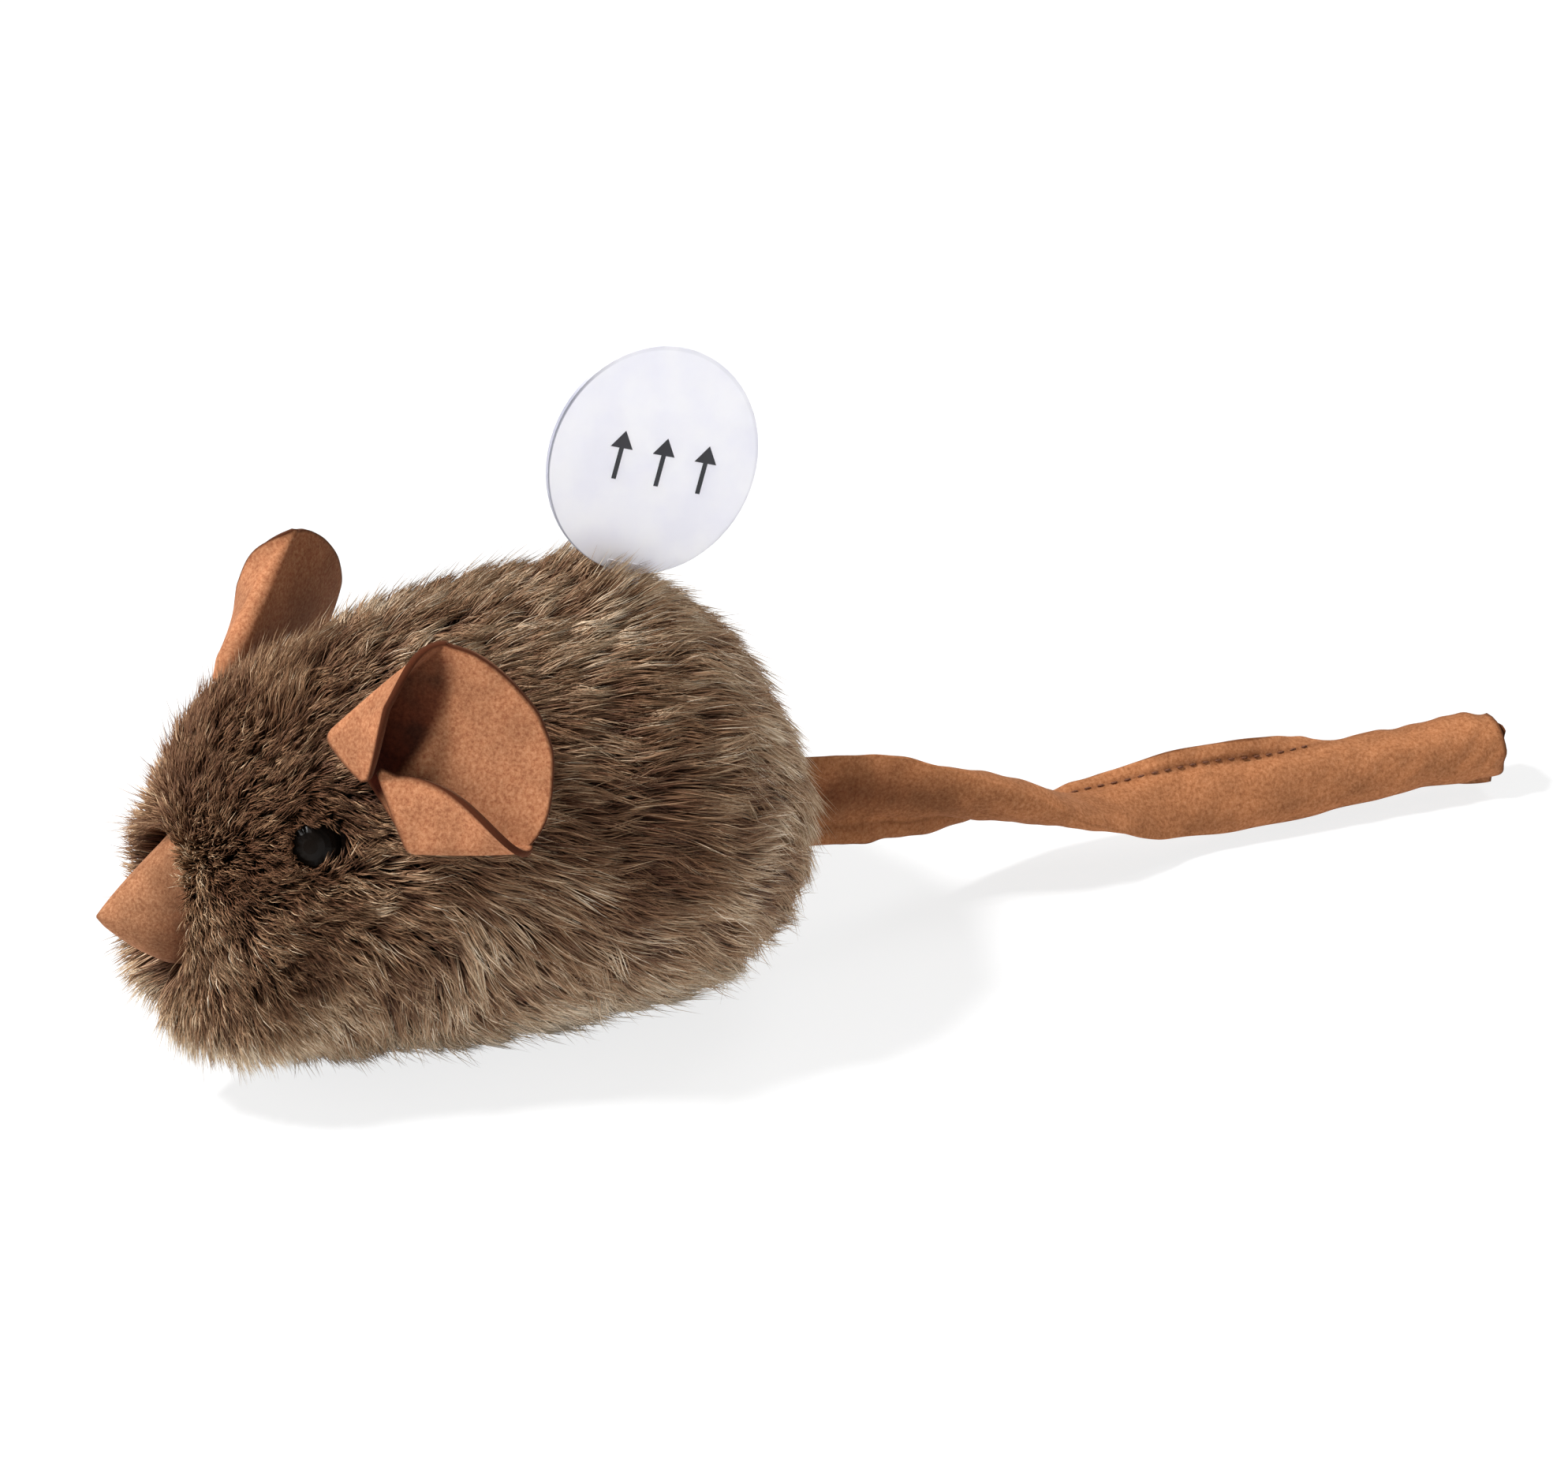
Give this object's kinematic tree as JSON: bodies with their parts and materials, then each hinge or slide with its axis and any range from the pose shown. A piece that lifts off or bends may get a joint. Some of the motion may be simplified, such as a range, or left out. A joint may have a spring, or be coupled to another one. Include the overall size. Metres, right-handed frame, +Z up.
{
  "type": "plush toy mouse",
  "caption": "Soft toy mouse with fur body, folded suede ears, suede nose and twisted tail, button eyes, and a sound module woken by a round pull tab in its back",
  "frame": {"origin": "the middle of the flat face that the belly rests on, at floor level", "axes": "+Z is up, -Y is the way the nose points and +Y the way the tail runs, +X is to the mouse's left"},
  "size_m": [0.0565, 0.1688, 0.0743],
  "materials": {
    "fur": "long-pile plush fur cloth",
    "fibre": "loose polyester fibre",
    "suede": "napped suede cloth",
    "eye": "polished black plastic",
    "film": "translucent white film",
    "washer": "moulded nylon",
    "housing": "moulded white plastic",
    "screw": "zinc plated",
    "cell": "nickel plated",
    "contact": "spring steel",
    "brass": "rolled brass",
    "ceramic": "silvered ceramic",
    "board": "glass laminate with green varnish",
    "resin": "cast black resin",
    "red_wire": "PVC insulation",
    "black_wire": "PVC insulation"
  },
  "bodies": {
    "mouse": {"left_fur_panel": "fur", "right_fur_panel": "fur", "belly_gusset": "fur", "fibre_filling": "fibre", "suede_nose": "suede", "left_eye": "eye", "left_eye_washer": "washer", "right_eye": "eye", "right_eye_washer": "washer", "module_base": "housing", "module_lid": "housing", "lid_screw_1": "screw", "lid_screw_2": "screw", "lid_screw_3": "screw", "sounder_brass": "brass", "sounder_ceramic": "ceramic", "button_cell_1": "cell", "button_cell_2": "cell", "button_cell_3": "cell", "plus_contact": "contact", "minus_contact": "contact", "circuit_board": "board", "sound_chip": "resin", "shake_switch_can": "brass", "shake_switch_plug": "resin", "shake_switch_pin": "brass", "sounder_wire_red": "red_wire", "sounder_wire_black": "black_wire", "cell_wire": "black_wire"},
    "left_ear_leaf": {"left_ear": "suede"},
    "right_ear_leaf": {"right_ear": "suede"},
    "tail": {"suede_tail": "suede"},
    "pull_tab": {"battery_isolator_tab": "film"},
    "switch_spring": {"shake_switch_spring": "contact"}
  },
  "joints": [
    {"name": "left_ear_bend", "type": "hinge", "parent": "mouse", "child": "left_ear_leaf", "pos_m": [0.01565, -0.01792, 0.03959], "axis": [0.6168, 0.37, -0.6947], "range_deg": [-8, 40], "stiffness_Nm_per_rad": 0.002},
    {"name": "right_ear_bend", "type": "hinge", "parent": "mouse", "child": "right_ear_leaf", "pos_m": [-0.01627, -0.01948, 0.03747], "axis": [0.5658, -0.3884, 0.7274], "range_deg": [-8, 40], "stiffness_Nm_per_rad": 0.002},
    {"name": "tail_swing", "type": "hinge", "parent": "mouse", "child": "tail", "pos_m": [0, 0.03828, 0.017], "axis": [0, 0, 1], "range_deg": [-50, 50], "stiffness_Nm_per_rad": 0.01},
    {"name": "tab_pull", "type": "slide", "parent": "mouse", "child": "pull_tab", "axis": [0, 0.3746, 0.9272], "range_m": [0, 0.045]},
    {"name": "switch_wag", "type": "hinge", "parent": "mouse", "child": "switch_spring", "pos_m": [-0.0034, -0.00175, 0.02985], "axis": [0, 0.9272, -0.3746], "range_deg": [-3, 3], "stiffness_Nm_per_rad": 0.0002}
  ]
}
